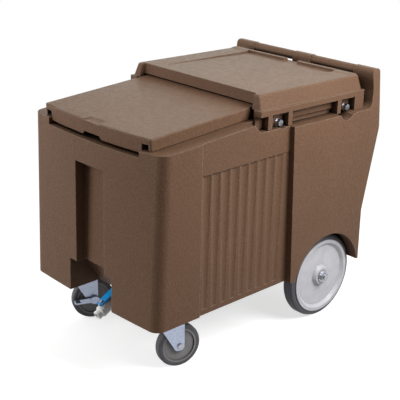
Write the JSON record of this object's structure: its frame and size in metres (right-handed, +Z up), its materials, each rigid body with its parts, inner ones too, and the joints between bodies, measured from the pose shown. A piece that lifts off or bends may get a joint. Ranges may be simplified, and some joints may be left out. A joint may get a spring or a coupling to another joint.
{
  "type": "mobile ice bin",
  "caption": "Insulated ice bin on wheels with a sliding front lid, a bolted rear cover, a push handle, a drain tap and swivel front casters.",
  "frame": {"origin": "on the floor, under the middle of the part's outer box", "axes": "+X to the right of someone facing the back of the part from its front, +Y from the front to the push handle, +Z up"},
  "size_m": [0.584, 0.8649, 0.742],
  "materials": {
    "brown_plastic": "fine grained rotomoulded polyethylene",
    "shelf_plastic": "matt",
    "white_plastic": "satin",
    "blue_plastic": "satin",
    "black_rubber": "matt",
    "grey_tyre": "matt",
    "wheel_hub_plastic": "satin",
    "caster_core_plastic": "satin",
    "bearing_metal": "turned",
    "zinc_steel": "zinc plated",
    "fastener_steel": "bright plated"
  },
  "bodies": {
    "tub_body": {"tub": "brown_plastic", "rear_cover": "brown_plastic", "cover_bolts": "fastener_steel", "cover_washers": "fastener_steel", "cover_inserts": "bearing_metal", "handle_bar": "brown_plastic", "drain_shelf": "shelf_plastic", "drain_tap": "white_plastic", "tap_gasket": "black_rubber", "axle": "fastener_steel", "axle_spacers": "fastener_steel", "axle_washers": "fastener_steel", "axle_nuts": "fastener_steel", "caster_plate_left": "zinc_steel", "caster_race_left": "zinc_steel", "caster_bearing_left": "zinc_steel", "kingpin_left": "fastener_steel", "caster_plate_right": "zinc_steel", "caster_race_right": "zinc_steel", "caster_bearing_right": "zinc_steel", "kingpin_right": "fastener_steel", "caster_bolts": "fastener_steel"},
    "lid_body": {"sliding_lid": "brown_plastic"},
    "tap_plug": {"tap_stem": "white_plastic", "tap_lever": "blue_plastic", "lever_screw": "fastener_steel"},
    "rear_wheel_left": {"rear_tyre_left": "grey_tyre", "rear_hub_left": "wheel_hub_plastic", "rear_bush_left": "bearing_metal"},
    "rear_wheel_right": {"rear_tyre_right": "grey_tyre", "rear_hub_right": "wheel_hub_plastic", "rear_bush_right": "bearing_metal"},
    "caster_left": {"caster_fork_left": "zinc_steel", "caster_axle_left": "fastener_steel"},
    "caster_right": {"caster_fork_right": "zinc_steel", "caster_axle_right": "fastener_steel"},
    "caster_wheel_left": {"caster_tread_left": "grey_tyre", "caster_core_left": "caster_core_plastic", "caster_bush_left": "bearing_metal"},
    "caster_wheel_right": {"caster_tread_right": "grey_tyre", "caster_core_right": "caster_core_plastic", "caster_bush_right": "bearing_metal"},
    "brake": {"brake_lever": "zinc_steel"}
  },
  "joints": [
    {"name": "lid_slide", "type": "slide", "parent": "tub_body", "child": "lid_body", "axis": [0, 0.9981, 0.0619], "range_m": [0, 0.3]},
    {"name": "tap_turn", "type": "hinge", "parent": "tub_body", "child": "tap_plug", "pos_m": [0.028, -0.39973, 0.14378], "axis": [0, -0.4695, 0.8829], "range_deg": [0, 90]},
    {"name": "rear_wheel_left_spin", "type": "hinge", "parent": "tub_body", "child": "rear_wheel_left", "pos_m": [-0.2425, 0.24074, 0.129], "axis": [1, 0, 0], "continuous": true},
    {"name": "rear_wheel_right_spin", "type": "hinge", "parent": "tub_body", "child": "rear_wheel_right", "pos_m": [0.2425, 0.24074, 0.129], "axis": [1, 0, 0], "continuous": true},
    {"name": "caster_left_swivel", "type": "hinge", "parent": "tub_body", "child": "caster_left", "pos_m": [-0.1945, -0.31326, 0.14], "axis": [0, 0, 1], "continuous": true},
    {"name": "caster_left_spin", "type": "hinge", "parent": "caster_left", "child": "caster_wheel_left", "pos_m": [-0.18375, -0.28525, 0.0635], "axis": [0.9336, -0.3584, 0], "continuous": true},
    {"name": "brake_press", "type": "hinge", "parent": "caster_left", "child": "brake", "pos_m": [-0.18375, -0.28525, 0.0635], "axis": [0.9336, -0.3584, 0], "range_deg": [0, 20]},
    {"name": "caster_right_swivel", "type": "hinge", "parent": "tub_body", "child": "caster_right", "pos_m": [0.1945, -0.31326, 0.14], "axis": [0, 0, 1], "continuous": true},
    {"name": "caster_right_spin", "type": "hinge", "parent": "caster_right", "child": "caster_wheel_right", "pos_m": [0.20227, -0.28429, 0.0635], "axis": [0.9659, -0.2588, 0], "continuous": true}
  ]
}
